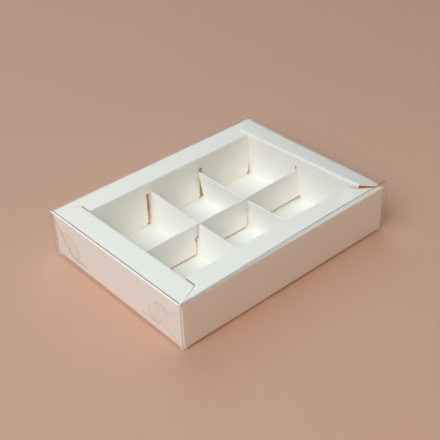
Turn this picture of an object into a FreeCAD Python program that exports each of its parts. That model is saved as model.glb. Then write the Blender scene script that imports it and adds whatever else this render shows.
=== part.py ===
# A folded board tray with three slotted dividers under a clear film lid.
# Every panel between two creases is a sheet of its own, cut to its outline and set at its place.
# The origin is the middle of the tray's underside: +X runs along the box, +Y across it, +Z up.
import FreeCAD
import Part
import Sketcher
import math
import os
from FreeCAD import Vector

# Driving sizes in millimetres, and shares of the sizes that they follow.
SIZES = {
    # Tray: outside size, board thickness and the flat rim all round the opening.
    "tray_length": 153.0,
    "tray_width": 115.2,
    "tray_height": 30.3,
    "board": 0.5,
    "rim_width": 15.3,
    # The right rim has sprung up at its inner edge by this much, and the lid lies on it.
    "rim_spring": 3.2,
    # Corners of the rim: the short rims run on past the opening into a slit in the long rims.
    "ear_length": 7.5,
    "ear_taper": 5.0,
    "slit_gap": 0.6,
    "mitre_gap": 0.2,
    # Inner walls: play at their ends, the gap under the long ones and their cut corners.
    "inner_wall_play": 0.3,
    "long_wall_floor_gap": 0.3,
    "inner_wall_trim": 1.2,
    # Corner flaps: ends of the long outer walls turned in behind the short outer walls.
    "flap_length": 13.0,
    "flap_trim": 3.0,
    # Dividers: spacing, top edge below the rim, and how far they reach through the inner walls.
    "cell_pitch": 40.0,
    "divider_drop": 8.3,
    "divider_reach": 5.0,
    "long_divider_lift": 0.6,
    # Slots: keyhole slots in the walls and the long divider, plain laps in the cross dividers.
    "slot_width": 1.6,
    "slot_head_bulge": 1.5,
    "slot_headroom": 1.0,
    "lap_width": 1.0,
    "lap_play": 0.3,
    "lap_share": 0.55,
    "mouth_width": 4.4,
    "mouth_height": 2.4,
    # Lid: film thickness, play round the tray, headroom over the rim and gap to the ground.
    "film": 0.3,
    "lid_play_along": 1.2,
    "lid_play_across": 0.7,
    "lid_headroom": 3.6,
    "lid_ground_gap": 3.0,
    "lid_trim": 2.0,
    "film_gap": 0.1,
    # Corner locks: the tab at the corner, the slit that it meets and the tongue through the slit.
    "tab_head_drop": 4.4,
    "tab_foot_rise": 2.0,
    "slit_head_drop": 10.9,
    "slit_foot_rise": 7.6,
    "slit_head_inset": 9.8,
    "slit_foot_inset": 18.5,
    "slit_end_inset": 32.0,
    "slit_width": 0.7,
    "neck_head_share": 0.06,
    "neck_foot_share": 0.9,
    "tongue_tip_inset": 25.5,
    "tongue_tip_rise": 9.2,
    "tongue_bulge": 7.0,
}

doc = FreeCAD.newDocument("chocolate_box")
sheet = doc.addObject("Spreadsheet::Sheet", "Sizes")
for row, (alias, number) in enumerate(SIZES.items(), start=1):
    sheet.set(f"A{row}", alias)
    sheet.set(f"B{row}", str(number))
    sheet.setAlias(f"B{row}", alias)
doc.recompute()


class Length:
    """A size of the sheet, or one worked out from some, with the text that binds it to the sheet."""

    def __init__(self, text, value):
        self.text = text
        self.value = value

    def __add__(self, other):
        return Length(f"({self.text} + {other.text})", self.value + other.value)

    def __sub__(self, other):
        return Length(f"({self.text} - {other.text})", self.value - other.value)

    def __neg__(self):
        return Length(f"(-1 * {self.text})", -self.value)

    def __mul__(self, other):
        if isinstance(other, Length):
            return Length(f"({self.text} * {other.text})", self.value * other.value)
        return Length(f"({self.text} * {other})", self.value * other)

    def __truediv__(self, other):
        if isinstance(other, Length):
            return Length(f"({self.text} / {other.text})", self.value / other.value)
        return Length(f"({self.text} / {other})", self.value / other)


NOTHING = Length("0", 0)


def size(alias):
    """The named size of the sheet."""
    return Length(f"Sizes.{alias}", SIZES[alias])


def between(start, end, share):
    """The point at a share of the way from start to end."""
    return tuple(a + (b - a) * share for a, b in zip(start, end))


class Round:
    """A corner that the outline reaches by an arc, which swells from its chord by the bulge.
    Side is 1 where the arc swells to the left of the way it runs, -1 where to the right."""

    def __init__(self, point, bulge, side):
        self.point = point
        self.bulge = bulge
        self.side = side


def arc_radius(start, end, bulge):
    """The radius of the arc over a chord."""
    run = end[0] - start[0]
    rise = end[1] - start[1]
    return ((run * run + rise * rise) / 4 + bulge * bulge) / (bulge * 2)


def arc_middle(start, end, bulge, side):
    """The middle of the arc over a chord."""
    run = end[0].value - start[0].value
    rise = end[1].value - start[1].value
    swell = side * bulge.value / math.hypot(run, rise)
    middle_x = (start[0].value + end[0].value) / 2 - rise * swell
    middle_y = (start[1].value + end[1].value) / 2 + run * swell
    return Vector(middle_x, middle_y, 0)


def flat(point):
    """A corner of an outline as a point of its sketch."""
    return Vector(point[0].value, point[1].value, 0)


def bind(sketch, name, constraint, length):
    """Adds a constraint that follows the sheet."""
    index = sketch.addConstraint(constraint)
    sketch.renameConstraint(index, name)
    sketch.setExpression(f"Constraints.{name}", length.text)


def draw(sketch, title, outline):
    """Draws one closed outline, with every corner held at its place."""
    corners = [c.point if isinstance(c, Round) else c for c in outline]
    edges = []
    for number, corner in enumerate(outline):
        start = corners[number - 1]
        end = corners[number]
        if isinstance(corner, Round):
            middle = arc_middle(start, end, corner.bulge, corner.side)
            edge = sketch.addGeometry(Part.Arc(flat(start), middle, flat(end)), False)
            radius = arc_radius(start, end, corner.bulge)
            bind(sketch, f"{title}_r{number}", Sketcher.Constraint("Radius", edge, radius.value), radius)
        else:
            edge = sketch.addGeometry(Part.LineSegment(flat(start), flat(end)), False)
        turned = sketch.getPoint(edge, 1).distanceToPoint(flat(start)) > \
            sketch.getPoint(edge, 2).distanceToPoint(flat(start))
        edges.append((edge, 2, 1) if turned else (edge, 1, 2))
    for number, corner in enumerate(corners):
        edge, _, tail = edges[number]
        following, head, _ = edges[(number + 1) % len(edges)]
        sketch.addConstraint(Sketcher.Constraint("Coincident", edge, tail, following, head))
        across = Sketcher.Constraint("DistanceX", -1, 1, edge, tail, corner[0].value)
        bind(sketch, f"{title}_x{number}", across, corner[0])
        upward = Sketcher.Constraint("DistanceY", -1, 1, edge, tail, corner[1].value)
        bind(sketch, f"{title}_y{number}", upward, corner[1])


sub_parts = []


def sheet_piece(label, half_turn=False):
    """An empty sub-part, turned half round the box's upright axis where it stands at the far side."""
    body = doc.addObject("PartDesign::Body", label)
    body.Label = label
    degrees = 180 if half_turn else 0
    body.Placement = FreeCAD.Placement(Vector(0, 0, 0), FreeCAD.Rotation(Vector(0, 0, 1), degrees))
    sub_parts.append(body)
    return body


def cut_sheet(body, title, plane, level, thickness, outline, holes=(), inwards=False):
    """Adds a sheet of the body: its outline, with its holes, drawn at a level of a plane.
    It grows along the plane's normal by its thickness, or against it where it grows inwards."""
    sketch = body.newObject("Sketcher::SketchObject", f"{body.Name}_{title}")
    support = [f for f in body.Origin.OriginFeatures if f.Role == plane]
    sketch.AttachmentSupport = [(support[0], "")]
    sketch.MapMode = "FlatFace"
    sketch.setExpression("AttachmentOffset.Base.z", level.text)
    draw(sketch, "edge", outline)
    for number, hole in enumerate(holes):
        draw(sketch, f"hole{number}", hole)
    pad = body.newObject("PartDesign::Pad", f"{body.Name}_{title}_sheet")
    pad.Profile = sketch
    pad.setExpression("Length", thickness.text)
    pad.Reversed = inwards
    body.Tip = pad
    return sketch


def rectangle(low, high):
    """The four corners between two opposite ones."""
    return [low, (high[0], low[1]), high, (low[0], high[1])]


def keyhole_slot(centre, foot, head, width):
    """A slot up from a bottom edge, passed from left to right: flared mouth, straight sides, round head."""
    half_mouth = size("mouth_width") / 2
    half_slot = width / 2
    shoulder = foot + size("mouth_height")
    spring_line = head - size("slot_head_bulge")
    return [
        (centre - half_mouth, foot),
        (centre - half_slot, shoulder),
        (centre - half_slot, spring_line),
        Round((centre + half_slot, spring_line), size("slot_head_bulge"), 1),
        (centre + half_slot, shoulder),
        (centre + half_mouth, foot),
    ]


# Places worked out from the driving sizes.
board = size("board")
film = size("film")
half_length = size("tray_length") / 2
half_width = size("tray_width") / 2
opening_x = half_length - size("rim_width")
opening_y = half_width - size("rim_width")
ear_y = opening_y + size("ear_length")
rim_level = size("tray_height") - board
divider_top = size("tray_height") - size("divider_drop")
half_pitch = size("cell_pitch") / 2
lap_level = board + (divider_top - board) * size("lap_share")
lid_half_length = half_length + size("lid_play_along") + film
lid_half_width = half_width + size("lid_play_across") + film
lid_underside = size("tray_height") + size("lid_headroom")
lid_foot = size("lid_ground_gap")


# Tray: base panel.
base = sheet_piece("tray_base_panel")
cut_sheet(base, "panel", "XY_Plane", NOTHING, board,
          rectangle((-half_length, -half_width), (half_length, half_width)))


# Tray: outer walls, which stand on the base panel under the rims.
def long_outer_wall(label, half_turn):
    wall = sheet_piece(label, half_turn)
    cut_sheet(wall, "panel", "XZ_Plane", half_width, board,
              rectangle((-half_length, board), (half_length, rim_level)), inwards=True)


def short_outer_wall(label, half_turn):
    wall = sheet_piece(label, half_turn)
    end = half_width - board
    cut_sheet(wall, "panel", "YZ_Plane", -half_length, board,
              rectangle((-end, board), (end, rim_level)))


# Tray: flap behind the short outer wall, at the front end for side -1 and the back end for side 1.
def corner_flap(label, side, half_turn):
    flap = sheet_piece(label, half_turn)
    crease = half_width - board
    tip = crease - size("flap_length")
    shoulder = tip + size("flap_trim")
    outline = [
        (crease * side, board),
        (shoulder * side, board),
        (tip * side, board + size("flap_trim")),
        (tip * side, rim_level - size("flap_trim")),
        (shoulder * side, rim_level),
        (crease * side, rim_level),
    ]
    cut_sheet(flap, "panel", "YZ_Plane", board - half_length, board, outline)


# Tray: rims. The short ones end in mitres from the box's corners to the ends of the slits.
def short_rim(label, half_turn, spring):
    """A rim turned up about its outer crease until its inner edge has risen by the spring."""
    rim = sheet_piece(label, half_turn)
    slope = spring / size("rim_width")
    level = rim_level + half_length * slope
    outline = [
        (-half_length, -half_width),
        (-opening_x, -ear_y),
        (-opening_x, ear_y),
        (-half_length, half_width),
    ]
    sketch = cut_sheet(rim, "panel", "XY_Plane", level, board, outline)
    tilt = FreeCAD.Rotation(Vector(0, -1, 0), math.degrees(math.asin(slope.value)))
    sketch.AttachmentOffset = FreeCAD.Placement(sketch.AttachmentOffset.Base, tilt)
    sketch.setExpression("AttachmentOffset.Base.x", f"{half_length.text} * (cos(asin({slope.text})) - 1)")
    sketch.setExpression("AttachmentOffset.Rotation.Angle", f"asin({slope.text})")


def long_rim(label, half_turn):
    rim = sheet_piece(label, half_turn)
    corner = half_length - size("mitre_gap")
    slit = opening_x - size("slit_gap")
    outline = [
        (-corner, -half_width),
        (corner, -half_width),
        (slit, -ear_y),
        (slit, -opening_y),
        (-slit, -opening_y),
        (-slit, -ear_y),
    ]
    cut_sheet(rim, "panel", "XY_Plane", rim_level, board, outline)


# Tray: inner walls, which hang from the rims' inner edges and come down over the dividers' ends.
def long_inner_wall(label, half_turn):
    wall = sheet_piece(label, half_turn)
    end = opening_x - size("inner_wall_play")
    foot = board + size("long_wall_floor_gap")
    trim = size("inner_wall_trim")
    head = divider_top + size("slot_headroom")
    outline = [(-end, rim_level), (-end, foot + trim), (trim - end, foot)]
    outline += keyhole_slot(-half_pitch, foot, head, size("slot_width"))
    outline += keyhole_slot(half_pitch, foot, head, size("slot_width"))
    outline += [(end - trim, foot), (end, foot + trim), (end, rim_level)]
    cut_sheet(wall, "panel", "XZ_Plane", opening_y, board, outline)


def short_inner_wall(label, half_turn, spring):
    """A wall that stands on the base panel, as tall as the rim's inner edge is high."""
    wall = sheet_piece(label, half_turn)
    taper = size("ear_taper")
    foot = board
    top = rim_level + spring - board * spring / size("rim_width")
    head = divider_top + size("slot_headroom") + spring
    outline = [(-ear_y, top), (-ear_y, foot + taper), (taper - ear_y, foot)]
    outline += keyhole_slot(NOTHING, foot, head, size("slot_width"))
    outline += [(ear_y - taper, foot), (ear_y, foot + taper), (ear_y, top)]
    cut_sheet(wall, "panel", "YZ_Plane", -opening_x, board, outline, inwards=True)


# Dividers: the long one drops over the two cross ones, which stand on the base panel.
def long_divider(label):
    divider = sheet_piece(label)
    end = opening_x + size("divider_reach")
    foot = board + size("long_divider_lift")
    head = lap_level + size("lap_play")
    outline = [(-end, divider_top), (-end, foot)]
    outline += keyhole_slot(-half_pitch, foot, head, size("lap_width"))
    outline += keyhole_slot(half_pitch, foot, head, size("lap_width"))
    outline += [(end, foot), (end, divider_top)]
    cut_sheet(divider, "panel", "XZ_Plane", board / -2, board, outline)


def cross_divider(label, half_turn):
    divider = sheet_piece(label, half_turn)
    end = opening_y + size("divider_reach")
    half_lap = size("lap_width") / 2
    outline = [
        (-end, board),
        (end, board),
        (end, divider_top),
        (half_lap, divider_top),
        (half_lap, lap_level),
        (-half_lap, lap_level),
        (-half_lap, divider_top),
        (-end, divider_top),
    ]
    cut_sheet(divider, "panel", "YZ_Plane", board / -2 - half_pitch, board, outline)


# Lid: top panel, over all four sides.
lid_top = sheet_piece("lid_top_panel")
cut_sheet(lid_top, "panel", "XY_Plane", lid_underside, film,
          rectangle((-lid_half_length, -lid_half_width), (lid_half_length, lid_half_width)))


def lid_side_outline(end):
    """A side of the lid, from its crease down to its foot, with cut lower corners."""
    trim = size("lid_trim")
    return [
        (-end, lid_underside),
        (-end, lid_foot + trim),
        (trim - end, lid_foot),
        (end - trim, lid_foot),
        (end, lid_foot + trim),
        (end, lid_underside),
    ]


# Lid: long sides, which stop inside the short sides.
def lid_long_side(label, half_turn):
    panel = sheet_piece(label, half_turn)
    end = lid_half_length - film - size("film_gap")
    cut_sheet(panel, "panel", "XZ_Plane", lid_half_width, film, lid_side_outline(end), inwards=True)


# The lock's slit runs in from the corner and down, then along the panel.
slit_head = (lid_half_width - size("slit_head_inset"), lid_underside - size("slit_head_drop"))
slit_foot = (lid_half_width - size("slit_foot_inset"), lid_foot + size("slit_foot_rise"))
slit_end = lid_half_width - size("slit_end_inset")


def mirrored(outline, side):
    """The outline for the front end, side -1, or for the back end, side 1."""
    corners = []
    for corner in outline:
        if isinstance(corner, Round):
            point = (corner.point[0] * side, corner.point[1])
            corners.append(Round(point, corner.bulge, corner.side * side))
        else:
            corners.append((corner[0] * side, corner[1]))
    return corners


def lock_slit(side):
    half_slit = size("slit_width") / 2
    outline = [
        (slit_head[0] + half_slit, slit_head[1]),
        (slit_head[0] - half_slit, slit_head[1]),
        (slit_foot[0] - half_slit, slit_foot[1]),
        (slit_end, slit_foot[1]),
        (slit_end, slit_foot[1] - size("slit_width")),
        (slit_foot[0] + half_slit, slit_foot[1] - size("slit_width")),
    ]
    return mirrored(outline, side)


# Lid: short sides, outside the tabs, with a slit near each end.
def lid_short_side(label, half_turn):
    panel = sheet_piece(label, half_turn)
    cut_sheet(panel, "panel", "YZ_Plane", -lid_half_length, film, lid_side_outline(lid_half_width),
              holes=[lock_slit(-1), lock_slit(1)])


# Lid: lock tab. Its root lies inside the short side, its neck fills the slit, its tongue lies outside.
def lid_lock_tab(label, side, half_turn):
    tab = sheet_piece(label, half_turn)
    crease = lid_half_width - film
    half_neck = film / 2
    neck_head = between(slit_head, slit_foot, size("neck_head_share"))
    neck_foot = between(slit_head, slit_foot, size("neck_foot_share"))
    inner_head = (neck_head[0] - half_neck, neck_head[1])
    inner_foot = (neck_foot[0] - half_neck, neck_foot[1])
    outer_head = (neck_head[0] + half_neck, neck_head[1])
    outer_foot = (neck_foot[0] + half_neck, neck_foot[1])
    root = [
        (crease, lid_foot + size("tab_foot_rise")),
        inner_foot,
        inner_head,
        (crease, lid_underside - size("tab_head_drop")),
    ]
    neck = [outer_foot, inner_foot, inner_head, outer_head]
    tip = (lid_half_width - size("tongue_tip_inset"), lid_foot + size("tongue_tip_rise"))
    tongue = [outer_foot, tip, Round(outer_head, size("tongue_bulge"), 1)]
    inside = film + size("film_gap") - lid_half_length
    outside = -(lid_half_length + size("film_gap") + film)
    depth = inside + film - outside
    cut_sheet(tab, "root", "YZ_Plane", inside, film, mirrored(root, side))
    cut_sheet(tab, "neck", "YZ_Plane", outside, depth, mirrored(neck, side))
    cut_sheet(tab, "tongue", "YZ_Plane", outside, film, mirrored(tongue, side))


# The panels drawn at the front and the left, and their likes turned half round the box.
for far_side, front, left, spring in (
    (False, "front", "left", NOTHING),
    (True, "back", "right", size("rim_spring")),
):
    long_outer_wall(f"long_outer_wall_{front}", far_side)
    short_outer_wall(f"short_outer_wall_{left}", far_side)
    long_rim(f"long_rim_{front}", far_side)
    short_rim(f"short_rim_{left}", far_side, spring)
    long_inner_wall(f"long_inner_wall_{front}", far_side)
    short_inner_wall(f"short_inner_wall_{left}", far_side, spring)
    cross_divider(f"cross_divider_{left}", far_side)
    lid_long_side(f"lid_long_side_{front}", far_side)
    lid_short_side(f"lid_short_side_{left}", far_side)
    for end_side, near_end, far_end in ((-1, "front", "back"), (1, "back", "front")):
        corner_name = f"{far_end if far_side else near_end}_{left}"
        corner_flap(f"corner_flap_{corner_name}", end_side, far_side)
        lid_lock_tab(f"lid_lock_tab_{corner_name}", end_side, far_side)
long_divider("long_divider")

doc.recompute()

# Nothing is written unless every object is sound.
for item in doc.Objects:
    if "Invalid" in item.State or "Error" in item.State:
        raise RuntimeError(f"{item.Label} failed: {item.State}")
for body in sub_parts:
    if body.Shape.isNull() or not body.Shape.isValid() or len(body.Shape.Solids) != 1:
        raise RuntimeError(f"{body.Label} is not one sound solid")

os.makedirs("parts", exist_ok=True)
for body in sub_parts:
    body.Shape.exportStep(f"parts/{body.Label}.step")
    print(body.Label, round(body.Shape.Volume, 2))
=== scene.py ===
# A folded board box for six chocolates: a tray with hollow walls, three dividers and a clear film lid.
import math

import bmesh
import bpy
from mathutils import Matrix, Vector


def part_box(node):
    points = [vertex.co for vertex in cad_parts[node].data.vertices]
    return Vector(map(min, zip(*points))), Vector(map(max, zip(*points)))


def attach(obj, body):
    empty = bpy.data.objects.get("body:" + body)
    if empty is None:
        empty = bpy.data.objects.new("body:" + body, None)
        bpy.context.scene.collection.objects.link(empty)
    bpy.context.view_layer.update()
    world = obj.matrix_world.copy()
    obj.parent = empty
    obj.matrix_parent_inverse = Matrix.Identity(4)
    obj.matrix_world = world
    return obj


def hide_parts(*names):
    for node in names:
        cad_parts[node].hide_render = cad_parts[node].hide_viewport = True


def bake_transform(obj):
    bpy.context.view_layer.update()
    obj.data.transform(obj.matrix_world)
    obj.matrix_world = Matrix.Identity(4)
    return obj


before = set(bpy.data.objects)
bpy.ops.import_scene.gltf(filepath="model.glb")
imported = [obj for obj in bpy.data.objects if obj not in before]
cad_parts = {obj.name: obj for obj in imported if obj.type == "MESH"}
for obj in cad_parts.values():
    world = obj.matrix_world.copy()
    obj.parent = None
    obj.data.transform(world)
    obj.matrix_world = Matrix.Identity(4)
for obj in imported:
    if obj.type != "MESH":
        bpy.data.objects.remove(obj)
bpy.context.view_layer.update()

MM = 0.001
QUARTER_TURN = math.pi / 2


def low(node):
    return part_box(node)[0]


def high(node):
    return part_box(node)[1]


# Sizes of the tray, read from its panels.
BOARD = high("tray_base_panel").z
HALF_LENGTH = high("tray_base_panel").x
HALF_WIDTH = high("tray_base_panel").y
TRAY_HEIGHT = high("long_rim_front").z
OPENING_X = -high("short_inner_wall_left").x
OPENING_Y = low("long_inner_wall_back").y
RIM = HALF_WIDTH - OPENING_Y
EAR_Y = high("short_inner_wall_left").y
RIM_SPRING = high("short_rim_right").z - TRAY_HEIGHT
LONG_WALL_FOOT = low("long_inner_wall_front").z
FLAP_TIP = HALF_WIDTH + high("corner_flap_front_left").y
DIVIDER_TOP = high("long_divider").z
LONG_DIVIDER_FOOT = low("long_divider").z
LONG_DIVIDER_END = high("long_divider").x
CROSS_X = (low("cross_divider_right").x + high("cross_divider_right").x) / 2
CROSS_END = high("cross_divider_right").y

# Sizes of the lid, read from its panels.
FILM = high("lid_top_panel").z - low("lid_top_panel").z
LID_X = high("lid_top_panel").x
LID_Y = high("lid_top_panel").y
LID_TOP = high("lid_top_panel").z
LID_UNDERSIDE = low("lid_top_panel").z
LID_FOOT = low("lid_long_side_front").z
LID_LONG_END = high("lid_long_side_front").x
TONGUE_X = high("lid_lock_tab_front_right").x


# Nodes.
def add_node(tree, kind, settings=None, inputs=None):
    """One node with its settings; each input is a value, or the socket that it is linked from."""
    node = tree.nodes.new(kind)
    for name, value in (settings or {}).items():
        setattr(node, name, value)
    for name, value in (inputs or {}).items():
        if isinstance(value, bpy.types.NodeSocket):
            tree.links.new(value, node.inputs[name])
        else:
            node.inputs[name].default_value = value
    return node


class Field:
    """A number that a tree works out at every point, so that its formulas read as formulas."""

    def __init__(self, tree, socket):
        self.tree = tree
        self.socket = socket

    def math(self, operation, *others):
        values = [self.socket] + [getattr(other, "socket", other) for other in others]
        node = add_node(self.tree, "ShaderNodeMath", {"operation": operation}, dict(enumerate(values)))
        return Field(self.tree, node.outputs[0])

    def __add__(self, other):
        return self.math("ADD", other)

    def __sub__(self, other):
        return self.math("SUBTRACT", other)

    def __mul__(self, other):
        return self.math("MULTIPLY", other)

    def __truediv__(self, other):
        return self.math("DIVIDE", other)

    def at_least(self, other):
        return self.math("MAXIMUM", other)

    def at_most(self, other):
        return self.math("MINIMUM", other)

    def sine(self):
        return self.math("SINE")

    def drop(self):
        """One less the cosine, how far a point on a unit arc has left its tangent."""
        return self.math("COSINE") * -1 + 1


# Materials.
def linear(code):
    """The linear colour of an sRGB hex code."""
    channels = [int(code[place:place + 2], 16) / 255 for place in (1, 3, 5)]
    return [c / 12.92 if c <= 0.04045 else ((c + 0.055) / 1.055) ** 2.4 for c in channels] + [1.0]


def new_material(name):
    material = bpy.data.materials.new(name)
    material.use_nodes = True
    material.node_tree.nodes.clear()
    return material, material.node_tree


# Sockets of a colour mix, whose names are the same for every kind of value.
MIX_FIRST = 6
MIX_SECOND = 7
MIX_RESULT = 2

# Pulp lies in clouds of about a centimetre. Its fibres are some 0.03 mm wide, too fine to show, so
# they are drawn about ten times as coarse.
CLOUD = 9 * MM
FIBRE = 0.35 * MM
GRAIN_DEPTH = 0.02 * MM
GRAIN_STRENGTH = 0.25
SHEEN_SPREAD = 0.08
BOARD_IOR = 1.5


def folding_board(name, pale, shade, roughness, glow=0.0):
    """Bleached board: soft clouds of fibre in its tone, and a fine grain that breaks up its sheen.

    Its glow is painted light: the sheet gives off light in its pale colour, though it is no lamp, standing
    in for daylight that soaks through from its other side."""
    material, tree = new_material(name)
    place = add_node(tree, "ShaderNodeTexCoord").outputs["Object"]
    cloud = add_node(tree, "ShaderNodeTexNoise", None, {"Vector": place, "Scale": 1 / CLOUD, "Detail": 4.0})
    fibre = add_node(tree, "ShaderNodeTexNoise", None, {
        "Vector": place, "Scale": 1 / FIBRE, "Detail": 3.0, "Roughness": 0.6})
    tone = add_node(tree, "ShaderNodeMix", {"data_type": "RGBA"}, {
        "Factor": cloud.outputs[0], MIX_FIRST: linear(shade), MIX_SECOND: linear(pale)})
    sheen = add_node(tree, "ShaderNodeMapRange", None, {
        "Value": fibre.outputs[0], "To Min": roughness - SHEEN_SPREAD, "To Max": roughness + SHEEN_SPREAD})
    grain = add_node(tree, "ShaderNodeBump", None, {
        "Height": fibre.outputs[0], "Strength": GRAIN_STRENGTH, "Distance": GRAIN_DEPTH})
    surface = add_node(tree, "ShaderNodeBsdfPrincipled", None, {
        "Base Color": tone.outputs[MIX_RESULT], "Roughness": sheen.outputs[0], "Normal": grain.outputs[0],
        "IOR": BOARD_IOR, "Emission Color": linear(pale), "Emission Strength": glow})
    add_node(tree, "ShaderNodeOutputMaterial", None, {"Surface": surface.outputs[0]})
    return material


# Clear PET. Its scuffs are a few millimetres long, and a cutting rule nicks it at about that spacing.
PET_IOR = 1.575
SCUFF = 6 * MM
NICK = 3 * MM
NICK_SPREAD = 0.3
FILM_GLOSS = 0.6


def clear_film(name, tint, haze, roughness):
    """Clear PET sheet: what lies behind shows through, and its gloss grows towards a flat view."""
    material, tree = new_material(name)
    place = add_node(tree, "ShaderNodeTexCoord").outputs["Object"]
    fresnel = Field(tree, add_node(tree, "ShaderNodeFresnel", None, {"IOR": PET_IOR}).outputs[0])
    behind = Field(tree, add_node(tree, "ShaderNodeNewGeometry").outputs["Backfacing"])
    scuff = add_node(tree, "ShaderNodeTexNoise", None, {"Vector": place, "Scale": 1 / SCUFF, "Detail": 5.0})
    gloss_share = (fresnel * FILM_GLOSS + Field(tree, scuff.outputs[0]) * haze) * (behind * -1 + 1)
    through = add_node(tree, "ShaderNodeBsdfTransparent", None, {"Color": linear(tint)})
    gloss = add_node(tree, "ShaderNodeBsdfAnisotropic", None, {
        "Color": linear("#FFFFFF"), "Roughness": roughness})
    surface = add_node(tree, "ShaderNodeMixShader", None, {
        0: gloss_share.at_most(1.0).socket, 1: through.outputs[0], 2: gloss.outputs[0]})
    add_node(tree, "ShaderNodeOutputMaterial", None, {"Surface": surface.outputs[0]})
    return material


def film_line(name, colour, cover, roughness, glow=0.0, fade=None):
    """Cut or scored PET: light is turned aside there, so that the film shows as a thin line.

    A line that fades is clear at the first of two places along the box and full at the second."""
    material, tree = new_material(name)
    place = add_node(tree, "ShaderNodeTexCoord").outputs["Object"]
    nick = add_node(tree, "ShaderNodeTexNoise", None, {"Vector": place, "Scale": 1 / NICK, "Detail": 3.0})
    nicked = add_node(tree, "ShaderNodeMapRange", None, {
        "Value": nick.outputs[0], "To Min": cover * (1 - NICK_SPREAD), "To Max": cover * (1 + NICK_SPREAD)})
    share = Field(tree, nicked.outputs[0])
    if fade:
        along = add_node(tree, "ShaderNodeSeparateXYZ", None, {0: place}).outputs["X"]
        ramp = add_node(tree, "ShaderNodeMapRange", None, {
            "Value": along, "From Min": fade[0], "From Max": fade[1]})
        share = share * Field(tree, ramp.outputs[0])
    through = add_node(tree, "ShaderNodeBsdfTransparent")
    line = add_node(tree, "ShaderNodeBsdfPrincipled", None, {
        "Base Color": linear(colour), "Roughness": roughness, "IOR": PET_IOR,
        "Emission Color": linear(colour), "Emission Strength": glow})
    surface = add_node(tree, "ShaderNodeMixShader", None, {
        0: share.socket, 1: through.outputs[0], 2: line.outputs[0]})
    add_node(tree, "ShaderNodeOutputMaterial", None, {"Surface": surface.outputs[0]})
    return material


# Clay-coated and calendered: smooth and very white, with a soft sheen.
COATED = folding_board("coated_white_folding_board", "#FCFBF5", "#F9F7F0", 0.42)
# The reverse has no clay: matt, and a little cooler than the coated face. It is the floor of the cells.
UNCOATED = folding_board("uncoated_white_board_reverse", "#F8FAF7", "#F5F7F4", 0.7)
# Painted warm shade and painted glow inside the hollow walls: a deep amber that gives off light of its own,
# so that the shade behind every slot reads warm and deep.
HOLLOW_PAINTED_SHADE_GLOW = folding_board("hollow_wall_inside_painted_warm_shade_glow", "#A87C12", "#966E0C", 0.9, 0.44)
# A cutting rule lays the pulp bare: a chalky white edge.
CUT_BOARD = folding_board("die_cut_board_edge", "#FEFDFA", "#FAF9F5", 0.75)
# Painted warm shade: a thin brown line on cut edges that face slots and gaps, and along the long divider's
# foot, where the shade is deep.
PAINTED_WARM_SHADE = folding_board("board_edge_painted_warm_shade", "#BC8A34", "#A67824", 0.8)

# Calendered between polished rolls: it can hardly be seen but for its gloss.
FILM_SHEET = clear_film("clear_pet_film_calendered", "#FFFFFF", 0.02, 0.04)
# A cut edge gathers the light of the sheet: a thin grey line.
FILM_CUT = film_line("clear_pet_film_die_cut_edge", "#92867C", 0.38, 0.25)
# A sharp scored crease turns the view away to the dim room: a painted dark reflection, a dark line.
FILM_PAINTED_DARK_LINE = film_line("clear_pet_film_crease_painted_dark_reflection", "#40382F", 0.65, 0.2)
# The same crease where it faces the window: a painted highlight, a white glint that gives off light of its
# own.
FILM_PAINTED_GLINT = film_line("clear_pet_film_crease_painted_glint", "#FFFFFF", 0.6, 0.3, 0.35)
# A crease that has sprung back a little: a faint painted reflection, hardly more than a shimmer.
FILM_BEND = film_line("clear_pet_film_soft_crease", "#7E746C", 0.07, 0.2)
# The front crease lies on the board at its left end and lifts off towards its right end, so that a broad
# grey haze passes into a
# sharp dark line: painted shade and a painted dark reflection.
SCORE_FADE = (-50 * MM, 20 * MM)
HAZE_FADE = (30 * MM, -45 * MM)
FRONT_PAINTED_DARK_LINE = film_line("clear_pet_film_crease_painted_dark_reflection_fading", "#40382F", 0.65, 0.2, 0.0, SCORE_FADE)
FRONT_PAINTED_HAZE = film_line("clear_pet_film_crease_painted_grey_haze", "#9A8672", 0.42, 0.4, 0.0, HAZE_FADE)


# Every sheet of the box is a flat blank, u along a side of the box and s across its folds.
# A fold tree turns it up from under the base, over the rim and down the inner wall.
class Folds:
    """Where the places of a folded side lie on its flat blank."""

    def __init__(self, height, rim, lip, crease):
        arc = crease * QUARTER_TURN
        self.height = height
        self.rim_width = rim
        self.lip_width = lip
        self.crease = crease
        self.wall_start = lip - crease + arc
        self.rim_fold = self.wall_start + height - 2 * crease
        self.rim_start = self.rim_fold + arc
        self.inner_fold = self.rim_start + rim - 2 * crease
        self.inner_start = self.inner_fold + arc
        self.foot_crease = lip - crease + arc / 2
        self.rim_crease = self.rim_fold + arc / 2
        self.inner_crease = self.inner_fold + arc / 2

    def lip(self, depth):
        return self.lip_width - depth

    def wall(self, level):
        return self.wall_start + level - self.crease

    def rim(self, depth):
        return self.rim_start + depth - self.crease

    def inner(self, level):
        return self.inner_start + self.height - self.crease - level

    def rounds(self, steps):
        """Cuts across the three creases, close enough for a smooth bend."""
        starts = (self.lip_width - self.crease, self.rim_fold, self.inner_fold)
        arc = self.crease * QUARTER_TURN
        return [start + arc * step / steps for start in starts for step in range(steps + 1)]


FOLD_SIZES = ("Reach", "Height", "Rim", "Lip", "Crease", "End", "End Crease", "Turn", "Wave")
RIPPLE = 38 * MM


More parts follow.
